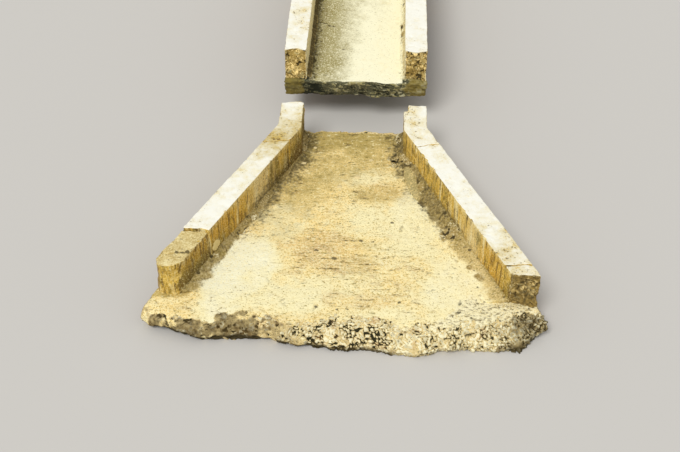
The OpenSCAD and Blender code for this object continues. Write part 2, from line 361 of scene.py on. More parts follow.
def stones(points, size, seed):
    """Broken stones packed one to a cell of the given size, each at a hashed place in its cell. For
    every point: how far inside its nearest stone it lies, from 0 in the gap between two stones to 1
    well inside one; how far that stone's flat face, whose slope is hashed, stands out or back there;
    and the stone's own number from 0 to 1."""
    spots = points / size
    cells = np.floor(spots).astype(np.int64)
    near = np.full(len(points), np.inf)
    second = near.copy()
    lean, own = np.zeros((2, len(points)))
    for offset in product((-1, 0, 1), repeat=3):
        cell = cells + offset
        lot = np.stack([hashed(cell, seed + k) for k in (1, 2, 3)], 1)
        gap = spots - cell - 0.1 - 0.8 * lot
        away = np.linalg.norm(gap, axis=1)
        closer = away < near
        second = np.where(closer, near, np.minimum(second, away))
        lean = np.where(closer, np.sum(gap * (2 * lot[:, ::-1] - 1), axis=1), lean)
        own = np.where(closer, hashed(cell, seed + 4), own)
        near = np.minimum(near, away)
    return smooth(0, 0.45, second - near), lean, own


def near_spots(points, spots, seed):
    """How much a point lies in one of several round spots x, y, radius, from 0 to 1, and how high a
    low dome over that spot stands there, in metres. Noise bends the spots' outlines."""
    inside, dome = np.zeros((2, len(points)))
    bend = 0.25 * noise(points, 0.008, seed)
    for x, y, radius in spots:
        away = np.hypot(points[:, 0] - x, 1.3 * (points[:, 1] - y)) / radius + bend
        inside = np.maximum(inside, smooth(1.2, 0.8, away))
        dome = np.maximum(dome, 0.35 * radius * np.sqrt(np.clip(1 - away ** 2, 0, 1)))
    return inside, dome


def near_lines(points, lines, seed):
    """How close a point lies to one of several ragged lines from x, y to x, y, from 0 to 1. Noise bends
    the lines and lets them fade here and there."""
    shade = np.zeros(len(points))
    bend = 0.008 * fractal(points, 0.04, seed, 4)
    for x0, y0, x1, y1 in lines:
        ahead = np.array([x1 - x0, y1 - y0])
        t = np.clip((points[:, :2] - (x0, y0)) @ ahead / (ahead @ ahead), 0, 1)
        away = np.hypot(points[:, 0] - blend(x0, x1, t) + bend, points[:, 1] - blend(y0, y1, t) + bend)
        shade = np.maximum(shade, smooth(0.007, 0.002, away))
    return shade * smooth(-0.8, 0.2, fractal(points, 0.025, seed + 5, 2))


def ellipses(points, spots, seed):
    """Greatest of several soft-edged ellipses x, y, half width, half length, strength, with their edges
    broken up by noise."""
    wobble = 0.50 * fractal(points, 0.11, seed, 5)
    shade = np.zeros(len(points))
    for x, y, wide, long, strength in spots:
        reach = np.hypot((points[:, 0] - x) / wide, (points[:, 1] - y) / long) + wobble
        shade = np.maximum(shade, strength * smooth(1.5, 0.4, reach))
    return shade


def places_between(start, end, coarse, fine=None, fine_start=0.0, fine_end=0.0):
    """Places from start to end, spaced fine within fine_start of the start and fine_end of the end and
    coarse elsewhere: the running sum of the wanted density, cut into equal steps."""
    probes = 4001
    probe = np.linspace(start, end, probes)
    dense = np.full_like(probe, 1 / coarse)
    if fine:
        dense[(probe < start + fine_start) | (probe > end - fine_end)] = 1 / fine
    total = np.concatenate([[0], np.cumsum((dense[1:] + dense[:-1]) / 2 * np.diff(probe))])
    count = max(3, int(round(total[-1])) + 1)
    return np.interp(np.linspace(0, total[-1], count), total, probe)


def block(us, vs, ws):
    """Closed surface of a block with grid lines at us, vs and ws along its three sides. Five of its
    sides are grids of two parameters that share their border points, and the bottom is one face.
    Gives the places (u, v, w), the quads and the bottom's outline."""
    shell = np.zeros((len(us), len(vs), len(ws)), bool)
    shell[[0, -1]] = True
    shell[:, [0, -1]] = True
    shell[:, :, -1] = True
    index = np.full(shell.shape, -1)
    index[shell] = np.arange(shell.sum())
    i, j, k = np.nonzero(shell)
    sides = [(index[:, :, -1], False), (index[-1], False), (index[0], True),
             (index[:, 0], False), (index[:, -1], True)]
    quads = []
    for grid, turned in sides:
        a, b, c, d = grid[:-1, :-1], grid[1:, :-1], grid[1:, 1:], grid[:-1, 1:]
        corners = (a, d, c, b) if turned else (a, b, c, d)
        quads.append(np.stack([corner.ravel() for corner in corners], 1))
    low = index[:, :, 0]
    base = np.concatenate([low[0, :-1], low[:-1, -1], low[-1, :0:-1], low[:0:-1, 0]])
    return np.stack([us[i], vs[j], ws[k]], 1), np.concatenate(quads), base


def rounded(places, size, radius):
    """Rounds all of a block's arrises but the bottom ones: each point is drawn towards the nearest
    point of a core that lies one radius inside the block, and ends one radius from it."""
    radius = radius[:, None]
    low = radius * (1, 1, 0)
    core = np.clip(places, low, np.maximum(size - radius, low))
    out = places - core
    reach = np.linalg.norm(out, axis=1, keepdims=True)
    return core + out * np.minimum(1, radius / np.maximum(reach, 1e-9))


def normals(points, quads):
    """Unit normal at each point: the sum of the crossed diagonals of the quads round it."""
    a, b, c, d = (points[quads[:, k]] for k in range(4))
    facing = np.repeat(np.cross(c - a, d - b), 4, axis=0)
    total = np.stack([np.bincount(quads.ravel(), facing[:, k], len(points)) for k in range(3)], 1)
    return total / np.maximum(np.linalg.norm(total, axis=1, keepdims=True), 1e-12)


def in_scene(name, data):
    """A new object at the origin that holds the data, linked to the scene."""
    thing = bpy.data.objects.new(name, data)
    bpy.context.scene.collection.objects.link(thing)
    return thing


def dress(node, grid, form, finish, slot, floor=0.0):
    """Makes the piece that stands for one frame node. form places the block's grid points, and finish
    gives, for them and their normals, the relief along the normals and the marks that materials read.
    The bottom lies flat at the height floor, and nothing of the piece goes lower."""
    places, quads, base = block(*grid)
    points = form(places)
    a, b, c, d = (points[quads[:, k]] - points[base[0]] for k in range(4))
    if np.sum(a * np.cross(c - a, d - b)) < 0:
        quads, base = quads[:, ::-1], base[::-1]
    out = normals(points, quads)
    relief, marks = finish(places, points, out)
    points = points + out * relief[:, None]
    points[base, 2] = floor
    points[:, 2] = np.maximum(points[:, 2], floor)
    mesh = bpy.data.meshes.new(node + "_surface")
    mesh.from_pydata(points.tolist(), [], quads.tolist() + [base.tolist()])
    for label, values in marks.items():
        layer = mesh.attributes.new(label, "FLOAT", "POINT")
        layer.data.foreach_set("value", np.asarray(values, np.float32))
    # The quads are smooth, and the bottom, which is the last face, is flat.
    mesh.polygons.foreach_set("use_smooth", np.arange(len(quads) + 1) < len(quads))
    mesh.materials.append(finish_named(slot))
    mesh.update()
    piece = in_scene(node + "_surface", mesh)
    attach(piece, BODY)
    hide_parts(node)


def sizes():
    """The sizes as they are set in the scene."""
    return bpy.context.scene.outlet_sizes


def wear():
    """The sizes of breaks and weathering as they are set in the scene."""
    return bpy.context.scene.outlet_wear


def palette():
    """The colours as they are set in the scene."""
    return bpy.context.scene.outlet_colours


def inner_x(y):
    """Distance of a wall's inner face from the centre line: constant above the bend, splayed below it."""
    return sizes().half_width + np.maximum(0, -y) * FLARE_SLOPE


def outer_x(y):
    """Distance of a wall's outer face from the centre line, mitred at the bend."""
    s = sizes()
    splayed = s.half_width + s.wall * np.hypot(1, FLARE_SLOPE) - y * FLARE_SLOPE
    return np.maximum(s.half_width + s.wall, splayed)


def along(values, t):
    """Value at t, from 0 to 1, of evenly spaced values joined by straight lines, or of one value alone."""
    values = np.atleast_1d(values)
    return np.interp(t, np.linspace(0, 1, len(values)), values)


def bay_ends(bay):
    """Lower and upper end of a bay of the chute, as y."""
    s = sizes()
    low = s.throat + s.chute_gap
    return low + (bay - 1) * s.bay, low + bay * s.bay


def rubble(points, seed, rich=1.0):
    """Broken concrete: flat-faced stones of two sizes, bent by noise, over a torn base with hollows.
    rich is the share where the stones lie bare, from 0 to 1, and paste covers the rest. Gives the
    relief; whether a point lies in a hollow, 0, on paste, 0.5, or on a stone, 1; and the stone's own
    tone from 0, grey, to 1, cream."""
    w = wear()
    bend = np.stack([noise(points, 1.3 * w.stone, seed + k) for k in (21, 22, 23)], 1)
    bent = points + 0.35 * w.stone * bend
    coarse, lean, own = stones(bent, w.stone, seed)
    fine, fine_lean, fine_own = stones(bent, w.gravel, seed + 10)
    big = smooth(0.42, 0.48, own)
    height = blend(0.5 * fine * (0.7 + fine_lean), coarse * (0.8 + 1.2 * lean), big)
    shown = smooth(0.15, 0.55, blend(fine, coarse, big))
    bare = smooth(-0.2, 0.2, 1.4 * rich - 0.7 + 0.5 * fractal(points, 0.045, seed + 30, 3))
    open_gaps = 0.8 * fractal(points, 0.055, seed + 40, 4) + 0.7 * noise(points, 0.018, seed + 45) + rich
    gap = bare * (1 - shown) * smooth(0.5, 1.3, open_gaps)
    hollow = np.maximum(gap, smooth(0.45, 0.8, fractal(points, 0.016, seed + 50, 4)))
    torn = 0.8 * fractal(points, 3 * w.stone, seed + 20, 5)
    return (w.stone_relief * (bare * (height - 0.4) + torn - 0.7 * hollow),
            blend(0.5 + 0.5 * bare * shown, 0, hollow), blend(fine_own, (own - 0.45) / 0.55, big))


def cast(points, seed, swell=0.0012, holes=0.002):
    """Cast face: the slow swell of its boards, a sandy roughness, and ragged blow holes. Gives the
    relief and how deep in a hole each point is."""
    hole = pocks(points, 0.016, seed + 9)
    relief = swell * fractal(points, 0.18, seed, 3) + 0.0006 * fractal(points, 0.018, seed + 5, 2)
    return relief - holes * hole, hole


def end_shift(kind, joint, spots, across):
    """How far the end of a wall stands up the slope of its mean line, at the given share across the
    wall. A cast end is plane. A crack's two sides wander together and open by a hairline. A broken end
    is torn on its own, and a rounded one also draws its corners back."""
    place, slant, seed = joint
    w = wear()
    if kind == "cast":
        return np.zeros(len(spots))
    if kind in ("broken", "rounded"):
        torn = w.tear * fractal(spots, 0.07, seed)
        return torn if kind == "broken" else torn + 3 * w.tear * np.abs(2 * across - 1) ** 3
    line = slant * (across - 0.5) + w.wander * fractal(spots * (1, 0, 1), 0.06, seed, 5)
    return line + (w.crack if kind == "above crack" else -w.crack)


def daubed(points, height, seed):
    """How much a point lies under the daub on the left wing wall, from 0 to 1: a disc bent by noise."""
    daub_y, daub_height, radius = WALL_DAUB
    away = np.hypot(points[:, 1] - daub_y, height - daub_height) / radius
    return smooth(1.1, 0.9, away + 0.3 * noise(points, 0.015, seed))


def grooved(points, seed):
    """How much a point lies in the rebuilt end's groove, from 0 to 1: a strip bent by noise."""
    groove_y, half_width = GROOVE
    away = np.abs(points[:, 1] - groove_y + 0.006 * fractal(points, 0.05, seed, 3))
    return smooth(half_width, 0.3 * half_width, away)


def wall(node, side, foot, high, low, seed, weather, slot="whitewashed_concrete",
         knocked_off=False, settle=0.0, arris=1.0):
    """One stretch of wall. Across, it lies between the inner and outer faces at each y; along, between
    the ends high and low, each a kind and a joint; up, from its foot to its height less settle. arris
    scales the rounding of its arrises, and knocked_off clips the inner corner of its high end."""
    s, w = sizes(), wear()
    (high_kind, high_joint), (low_kind, low_joint) = high, low
    run = high_joint[0] - low_joint[0]
    tall = s.wall_height - settle + w.bury
    size = np.array([s.wall, run, tall])
    edge = 2.5 * w.arris * arris
    near_end = 0.02
    grid = (places_between(0, s.wall, w.grid, w.fine_grid / 1.6, edge, edge),
            places_between(0, run, w.grid, w.fine_grid, near_end, near_end),
            places_between(0, tall, w.grid, w.fine_grid / 1.6, 0, edge))

    def past_end(places):
        """Distance along the wall from its nearest broken end."""
        high_end = places[:, 1] if high_kind == "broken" else np.inf
        low_end = run - places[:, 1] if low_kind == "broken" else np.inf
        return np.minimum(high_end, low_end) * np.ones(len(places))

    def knocks(places):
        """Where the arrises are knocked, from 0 to 1: peaks of a noise, all along a broken end, and
        here and there along a crack."""
        peaks = smooth(0.35, 0.95, fractal(places, 0.026, seed + 40, 3))
        chips = smooth(-0.1, 0.6, fractal(places, 0.020, seed + 45, 3))
        crack = smooth(0.012, 0.0, np.minimum(places[:, 1], run - places[:, 1])) * chips
        return np.max([peaks, crack, smooth(0.03, 0.0, past_end(places)) * (0.5 + 0.5 * peaks)], axis=0)

    def form(places):
        radius = w.arris * arris * (0.5 + 1.6 * knocks(places))
        soft = rounded(places, size, radius)
        share = soft[:, 0] / s.wall
        spots = np.stack([side * soft[:, 0], 0 * share, places[:, 2]], 1)
        high_y = high_joint[0] + end_shift(high_kind, high_joint, spots, share)
        low_y = low_joint[0] + end_shift(low_kind, low_joint, spots, share)
        y = blend(high_y, low_y, soft[:, 1] / run)
        inner = inner_x(y)
        if knocked_off:
            inner = inner + CHIP[0] * smooth(-0.004, 0.004, y - s.throat + CHIP[1])
        return np.stack([side * blend(inner, outer_x(y), share), y, foot - w.bury + soft[:, 2]], 1)

    def finish(places, points, out):
        top = smooth(0.45, 0.9, out[:, 2])
        inward, outward = (smooth(0.35, 0.75, way * side * out[:, 0]) for way in (-1, 1))
        ends = np.zeros(len(places))
        if "broken" in (high_kind, low_kind):
            ends = smooth(0.012, 0.002, past_end(places)) * smooth(0.4, 0.75, np.abs(out[:, 1]))
        to_side = np.minimum(places[:, 0], s.wall - places[:, 0])
        to_arris = np.maximum(to_side, tall - places[:, 2])
        rim = np.minimum(to_side, tall - places[:, 2])
        bare = smooth(0.35, 0.8, knocks(places)) * smooth(edge, 0.3 * edge, to_arris) * (1 - ends)
        height = points[:, 2] - foot
        to_top = s.wall_height - height
        t = (s.throat - points[:, 1]) / (s.throat + s.flare)
        aged = {mark: along(values, t) for mark, values in weather.items()}
        rough, shown, tone = rubble(points, seed, 0.6)
        face, hole = cast(points, seed + 50)
        prints = BOARD_PRINTS * fractal(points * (1, 1, 0.12), 0.014, seed + 80, 3) * inward
        foot_pocks = pocks(points * (1, 1, 0.6), 0.018, seed + 60) * inward * aged["pocks"]
        foot_pocks *= smooth(0.10, 0.03, height)
        relief = blend(face + prints - FOOT_POCKS * foot_pocks, rough, ends)
        relief -= outward * (OUTER_ROUGHNESS * np.abs(fractal(points, 0.03, seed + 70, 3)))
        relief -= TOP_SPALLS * smooth(0.3, 0.8, fractal(points, 0.05, seed + 90)) * top
        relief += HAND_SHAPING * fractal(points, 0.07, seed + 92, 3) * (low_kind == "rounded")
        daub = daubed(points, height, seed) * inward * (side == LEFT)
        relief += DAUB_THICKNESS * daub
        groove = grooved(points, seed + 95) * top * (side == LEFT)
        dark, dome = near_spots(points, GROOVE_STONES, seed + 97)
        relief += top * (dome + GROOVE_DEPTH * dark) - GROOVE_DEPTH * groove
        return relief, {
            "wash": top * (1 - 0.7 * bare) * (1 - ends),
            "coat": ends * smooth(1.3 * w.coat, 0.9 * w.coat, rim),
            "dirt": aged["dirt"],
            "algae": aged["algae"] * inward * (0.7 + 0.6 * smooth(0.12, 0.02, height)),
            "iron": aged["iron"] * inward,
            "lime": aged["lime"] * inward,
            "daub": daub,
            "runs": inward * smooth(0.05, 0.0, to_top),
            "foot": inward * aged["pocks"] * smooth(0.10, 0.02, height),
            # A darker band along the very bottom of the inner face.
            "grime": inward * smooth(0.035, 0.0, height),
            "buried": outward * smooth(0.0, 0.03, to_top),
            "broken": ends,
            "stone": shown,
            "tone": tone,
            "hole": np.max([0.7 * hole * (1 - top), foot_pocks, 0.25 * groove, 1.1 * dark * top], axis=0),
        }

    dress(node, grid, form, finish, slot, foot - w.bury)


def rebuilt_end(node, low_y, seed):
    """The hand-built end of the left wing, whose top is two lobes with a groove of dark stones between
    them. It is a wall with a rounded end."""
    wall(node, LEFT, sizes().slab, ("below crack", JOINTS[LEFT]), ("rounded", (low_y, 0, seed + 10)),
         seed, WEATHER[LEFT], slot="patched_concrete", settle=0.005, arris=2.2)


def outlet_ground(points):
    """Stains of the outlet's floor, which its slab and its fillets share: pale, soil, damp, and a dark band
    at the walls' feet, partly dirt and partly painted shade, which fades out towards the lip."""
    w, s = wear(), sizes()
    seed = w.seed + 700
    foot = inner_x(points[:, 1]) - np.abs(points[:, 0])
    damp_foot = smooth(0.07, 0.0, foot + 0.02 * fractal(points, 0.07, seed + 3))
    damp = np.maximum(ellipses(points, DAMP_SPOTS, seed), 0.75 * damp_foot)
    return {
        "pale": ellipses(points, PALE_SPOTS, seed + 10),
        "soil": ellipses(points, SOIL_SPOTS, seed + 20),
        "damp": damp * smooth(-s.flare - 0.03, -s.flare, points[:, 1]),
        "foot": smooth(0.14, 0.01, foot + 0.02 * fractal(points, 0.05, seed + 5))
        * smooth(-0.65, -0.35, points[:, 1]),
    }


def chute_ground(points):
    """Stains of the chute's floor: damp on its left, pale on its right, and dirt at the walls' feet."""
    w, s = wear(), sizes()
    seed = w.seed + 740
    x, y = points[:, 0], points[:, 1]
    foot = s.half_width - np.abs(x)
    lowest = smooth(0.68, 0.40, y)
    drift = 0.08 * fractal(points * (1, 0.6, 1), 0.16, seed, 5) + 0.10 * lowest
    left = smooth(0.20, -0.22, x + drift)
    right = smooth(-0.1, 0.1, x)
    near_walls = smooth(blend(0.075, 0.045, right), 0.01, foot) * (1 - 0.45 * right)
    return {"pale": 1.3 * right, "soil": 0 * x, "damp": left, "foot": near_walls}


def from_haunch(points, seed):
    """Distance from the middle of the lump of grey mortar, as a share of its half width and half length
    along its leaning axes. Noise bends its outline."""
    x, y, wide, long, lean = HAUNCH
    off = points[:, :2] - (x, y)
    away = np.hypot((off[:, 0] + lean * off[:, 1]) / wide, off[:, 1] / long)
    return away + 0.10 * fractal(points, 0.03, seed, 4)


def fillet(node, side, foot, high_y, low_y, rows, ground, seed):
    """Mortar in the corner of slab and wall. Across, at t from 0 on the slab to 1 on the wall, its
    hollow upper face is height * t^2 high, and width and height waver along it as a hand lays it. rows
    are as in FILLETS, from high_y to low_y. It takes its slab's stains from ground."""
    w = wear()
    run = high_y - low_y
    grid = (places_between(0, 1, min(0.2, 0.7 * w.grid / np.max(rows["width"]))),
            places_between(0, 1, 0.8 * w.grid / run), places_between(0, 1, 0.4))

    def form(places):
        t, v, up = places.T
        y = blend(high_y, low_y, v)
        # Each side reads its noise along a line of its own.
        hand = np.stack([np.full(len(places), side * 5.0), y, 0 * y], 1)
        width = along(rows["width"], v) * (1 + 0.15 * fractal(hand, 0.08, seed, 4))
        height = along(rows["height"], v) * (1 + 0.12 * fractal(hand, 0.14, seed + 5, 3))
        x = inner_x(y) + w.bury * smooth(0.9, 1.0, t) - width * (1 - t)
        top = foot + height * t ** 2 + FEATHER
        return np.stack([side * x, y, blend(foot - w.bury, top, up)], 1)

    def finish(places, points, out):
        t, v = places[:, 0], places[:, 1]
        dirty, toe, kept = (along(rows[row], v) for row in ("dirt", "toe", "kept"))
        lumps = fractal(points, 0.05, seed + 10, 5)
        hole = pocks(points, 0.020, seed + 20)
        rough, shown, tone = rubble(points, seed + 30, 0.3)
        lean = smooth(0.35, 0.8, fractal(points, 0.09, seed + 50, 3) + 0.4 * dirty)
        away = from_haunch(points, seed + 60)
        lump = smooth(1.15, 0.75, away)
        inner = smooth(0.0, 0.25, t)
        pit, _ = near_spots(points, HOLES, w.seed + 110)
        relief = MORTAR_LUMPS * lumps - MORTAR_POCKS * hole + 0.4 * rough * lean
        relief *= inner * (1 - 0.8 * lump)
        relief -= MORTAR_HOLES * pit
        relief += HAUNCH_HEIGHT * lump * np.clip(1.2 - away, 0, 1) ** 0.5
        line = smooth(0.22, 0.02, np.abs(t - 0.24)) * toe * smooth(-0.8, 0.5, lumps)
        round_lump = smooth(0.7, 1.0, away) * smooth(1.8, 1.1, away) * smooth(-0.4, 0.4, lumps)
        laid = smooth(-0.1, 0.7, t + 0.25 * fractal(points, 0.04, seed + 70, 4) - 0.6 * (1 - kept))
        # Dirt rows, a dark line along the toe, a ring round the lump, and a darker strip where the mortar
        # meets the wall.
        grime = np.max([dirty * inner, line, round_lump, 0.5 * smooth(0.8, 1.0, t)], axis=0)
        return relief, {
            "laid": laid * (0.4 + 0.6 * kept),
            "lump": lump,
            "broken": 0.7 * lean * inner * (1 - lump),
            "stone": shown,
            "tone": tone,
            "hole": np.maximum(hole * (1 - lump) * inner, 1.3 * pit),
            "grime": grime * (1 - lump),
            **ground(points),
        }

    dress(node, grid, form, finish, "fillet_mortar", foot - w.bury)


def apron(node, seed):
    """The outlet's slab: across, between the walls' outer faces at each y; along, from the throat's
    bowed edge down to the lip, whose line runs through LIP_LOWER and LIP_UPPER; its lip has crumbled
    down in a quarter of an ellipse."""
    s, w = sizes(), wear()
    run = s.throat + s.flare + max(LIP_UPPER)
    columns = 320
    grid = (np.linspace(-1, 1, columns),
            places_between(0, 1, 1.36 * w.grid / run, 0.75 * w.grid / run, 0.02, 0.12 / run),
            places_between(0, 1, w.grid / s.slab))

    def edges(across, up):
        """The throat's edge and the lip, as y, at a place across from -1 to 1 and a height from 0 to 1."""
        t = (across + 1) / 2
        spots = np.stack([across * outer_x(-s.flare), 0 * across, 0.5 * up * s.slab], 1)
        back = s.throat + s.edge_swing * (np.sin(pi * t) - 0.5)
        back = back + 0.7 * w.tear * fractal(spots, 0.08, seed + 1)
        face = s.lip_bulge * np.sin(pi * up) + w.tear * fractal(spots, 0.07, seed)
        return back, -s.flare - blend(along(LIP_LOWER, t), along(LIP_UPPER, t), up) - face

    def form(places):
        across, v, up = places.T
        back, lip = edges(across, up)
        y = blend(back, lip, v)
        crumbled = smooth(0.0, 0.5, across)
        t = np.clip((y - lip) / (w.lip_round * (1 + 0.7 * crumbled)), 0, 1)
        ragged = 1 + 0.4 * crumbled + 0.5 * fractal(np.stack([across, 0 * y, 0 * y], 1), 0.09, seed + 2, 3)
        drop = w.lip_drop * ragged * (1 - np.sqrt(1 - (1 - t) ** 2))
        side_round = 2 * w.arris * smooth(0.985, 1.0, np.abs(across)) * smooth(-s.flare, -s.flare - 0.02, y)
        return np.stack([across * outer_x(y), y, up * (s.slab - drop - side_round)], 1)

    def finish(places, points, out):
        across, v, up = places.T
        back, lip = edges(across, up)
        x, y = points[:, 0], points[:, 1]
        top = smooth(0.45, 0.85, out[:, 2])
        wobble = fractal(points, 0.06, seed + 3)
        # Towards the right the lip has broken further back, has more bare stones, and is drier.
        right, dry = smooth(-0.32, 0.05, x), smooth(0.0, 0.35, x)
        rich = 0.35 + 0.55 * right + 0.15 * wobble
        crumbs = fractal(points, 0.022, seed + 13, 3)
        reach = 0.020 + 0.022 * right + 0.026 * wobble + 0.020 * crumbs
        front = smooth(-0.006, 0.006, reach - y + lip)
        # Behind its torn edge lie broken islands.
        islands = crumbs * smooth(0.10, 0.04, y - lip) * (0.4 + 0.6 * right)
        front = np.maximum(front, smooth(0.3, 0.5, islands))
        behind = np.clip(smooth(0.4, 0.8, out[:, 1]) + smooth(0.010, 0.002, back - y), 0, 1)
        broken = np.maximum(front, behind)
        rough, shown, tone = rubble(points, seed + 4, np.where(front > 0, rich, 0.3))
        swell, hole = cast(points, seed + 5, swell=0.0016, holes=0.0016)
        washed = RAIN_WEAR * fractal(points, 0.02, seed + 6, 3)
        washed += TROWEL_MARKS * fractal(points * (0.4, 1, 1), 0.04, seed + 7, 3)
        near_lip = smooth(0.22, 0.02, y - lip) * smooth(-0.1, 0.35, x)
        stony = smooth(-0.2, 0.6, fractal(points, 0.20, seed + 8, 4) - 0.5 + 1.6 * near_lip) * top
        pocked = pocks(points, 0.018, seed + 9) * stony
        holes, _ = near_spots(points, HOLES, w.seed + 110)
        white, white_dome = near_spots(points, WHITE_STONES, seed + 12)
        dark, dark_dome = near_spots(points, DARK_STONES, seed + 14)
        scratched = near_lines(points, SCRATCHES, seed + 15)
        strip = smooth(0, 0.006, y - STRIP[0] + 0.006 * wobble) * smooth(-0.01, 0.01, x - STRIP[1])
        relief = blend(swell + washed - SLAB_POCKS * pocked, rough - LIP_SETBACK, broken)
        relief += top * (white_dome + dark_dome - SLAB_HOLES * holes - STRIP_DEPTH * strip
                         - SCRATCH_DEPTH * scratched)
        strip_edge = 2.0 * strip * (1 - strip)
        pits = np.max([0.6 * hole, pocked, 1.3 * holes, strip_edge, 0.9 * dark, 0.6 * scratched], axis=0)
        # The shade mark darkens the lip's torn face: towards its foot as painted shade, less on its dry
        # right; on its left with moss and painted shadow; and at its right corner.
        right_corner = smooth(0.46, 0.60, x)
        moss_and_painted_shade = smooth(0.6, 0.0, up) * (1 - 0.7 * dry) + 0.6 * (1 - right) + 0.6 * right_corner
        return relief, {
            "broken": np.maximum(broken, white * top),
            "stone": blend(np.maximum(shown, 0.20 * dry), 1.3, white),
            "tone": blend(tone, 1.5, white),
            "hole": pits * top,
            "buried": smooth(0.5, 0.9, np.abs(out[:, 0])) * (1 - front),
            "stony": stony,
            "shade": front * moss_and_painted_shade,
            **outlet_ground(points),
        }

    dress(node, grid, form, finish, "apron_concrete")


def chute_slab(node, bay, seed):
    """A bay of the chute's slab, a plain rectangle; the lowest bay's end is broken and undercut."""
    s, w = sizes(), wear()
    half = s.half_width + s.wall
    low_y, high_y = bay_ends(bay)
    run = high_y - low_y
    torn = bay == 1
    size = np.array([2 * half, run, s.chute_slab])
    grid = (places_between(0, 2 * half, w.grid * 1.2, w.fine_grid, 0.006, 0.006),
            places_between(0, run, w.grid * 1.4, w.fine_grid, 0.03 if torn else 0.006, 0.006),
            places_between(0, s.chute_slab, w.grid, w.fine_grid, 0, 0.012))
    floor = s.chute_top - s.chute_slab

    def form(places):
        ragged = smooth(0.0, 0.6, fractal(places, 0.04, seed + 1, 3))
        ragged *= smooth(0.05, 0.0, run - places[:, 1]) * torn + 0.15
        soft = rounded(places, size, w.arris * (0.5 + 3.0 * ragged))
        x = soft[:, 0] - half
        up = soft[:, 2] / s.chute_slab
        spots = np.stack([x, 0 * x, soft[:, 2]], 1)
        tear = (w.tear * fractal(spots, 0.10, seed, 5) + CHUTE_UNDERCUT * (1 - up) ** 1.5) * torn
        return np.stack([x, blend(high_y, low_y + tear, soft[:, 1] / run), floor + soft[:, 2]], 1)

    def finish(places, points, out):
        x, y = points[:, 0], points[:, 1]
        top = smooth(0.45, 0.85, out[:, 2])
        under_walls = smooth(-0.015, 0.005, np.abs(x) - s.half_width)
        under_walls *= smooth(0.016, 0.012, y - low_y - s.setback)
        facing = smooth(0.012, 0.002, run - places[:, 1]) * smooth(0.3, 0.7, -out[:, 1])
        below = np.maximum(facing, under_walls) * torn
        rough, shown, tone = rubble(points * (1, 1, 1.6), seed + 2, 0.3)
        swell, hole = cast(points, seed + 3, holes=0.0015)
        ridged = 1 - 2 * np.abs(fractal(points * (0.7, 1, 1.3), 0.018, seed + 4, 3))
        torn_deep = fractal(points * (0.6, 1, 1), 0.035, seed + 8, 4)
        drawn = points * (1, 0.5, 1)
        foot = pocks(drawn, 0.014, seed + 5) * smooth(-0.13, -0.175, x) * top
        line = near_lines(points, HAIR_CRACKS, seed + 7) * top * torn
        rugged = 0.4 * rough + CHUTE_RIDGES * ridged + CHUTE_TEARS * torn_deep
        relief = blend(swell - SLAB_POCKS * foot - HAIR_CRACK_DEPTH * line, rugged, below)
        # lit paints the break lighter towards its right, as painted light; its left stays darker.
        lit = smooth(-0.12, 0.14, x + 0.06 * torn_deep)
        ridge = 0.30 + 0.20 * lit + 0.40 * torn_deep + (0.25 + 0.45 * lit) * smooth(0.4, 0.95, ridged)
        return relief, {
            "broken": below,
            "stone": ridge,
            "tone": tone,
            "hole": np.max([0.5 * hole * top, 1.3 * foot, line], axis=0),
            "side": smooth(0.13, 0.23, np.abs(x) + 0.03 * torn_deep),
            "buried": smooth(0.5, 0.9, np.abs(out[:, 0])),
            **chute_ground(points),
        }

    dress(node, grid, form, finish, "chute_concrete", floor)


def anchor(node, seed):
    """A cut-off wall cast in its trench: a block with rough sides that follow the dug earth."""
    w = wear()
    low, high = (np.array(corner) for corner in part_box(node))
    size = high - low
    grid = tuple(places_between(0, side, 1.5 * w.grid) for side in size)

    def form(places):
        return low + rounded(places, size, np.full(len(places), 1.5 * w.arris))

    def finish(places, points, out):
        rough, shown, tone = rubble(points, seed)
        poor = smooth(0.1, 0.5, fractal(points, 0.08, seed + 2))
        relief = TRENCH_SWELL * (fractal(points, 0.10, seed + 1) - 0.5)
        relief += 0.4 * rough * poor * (out[:, 2] < 0.5)
        return relief, {"broken": 0.8 * poor, "stone": shown, "tone": tone, "hole": 0.5 * poor}

    dress(node, grid, form, finish, "buried_concrete")


def add(tree, kind, inputs=(), **settings):
    """Adds a shader node of a kind with its settings. inputs maps a socket's name or number to its
    value, or to the socket that it is linked from."""
    node = tree.nodes.new("ShaderNode" + kind)
    for key, value in settings.items():
        setattr(node, key, value)
    for key, value in dict(inputs).items():
        if isinstance(value, NodeSocket):
            tree.links.new(value, node.inputs[key])
        else:
            node.inputs[key].default_value = value
    return node


# Noises that the finishes are drawn with: size of the largest patches in metres, detail, roughness, and
# scale along each axis, under 1 where the patches are drawn out. Sand and specks are really finer, and
# are drawn as coarse as they need to be to show.
EVEN = (1, 1, 1)
GRAINS = {
    "broad": (0.20, 3, 0.55, EVEN),
    "patch": (0.065, 5, 0.65, EVEN),
    "mottle": (0.024, 5, 0.70, EVEN),
    "sand": (0.0060, 2, 0.60, EVEN),
    "speck": (0.0110, 2, 0.60, EVEN),
    "streak": (0.042, 4, 0.60, (1, 1, 0.13)),
    "drip": (0.014, 3, 0.60, (1, 1, 0.15)),
    "trowel": (0.018, 4, 0.65, (0.28, 1, 1)),
    "wisp": (0.0090, 3, 0.65, (0.4, 1, 1)),
}


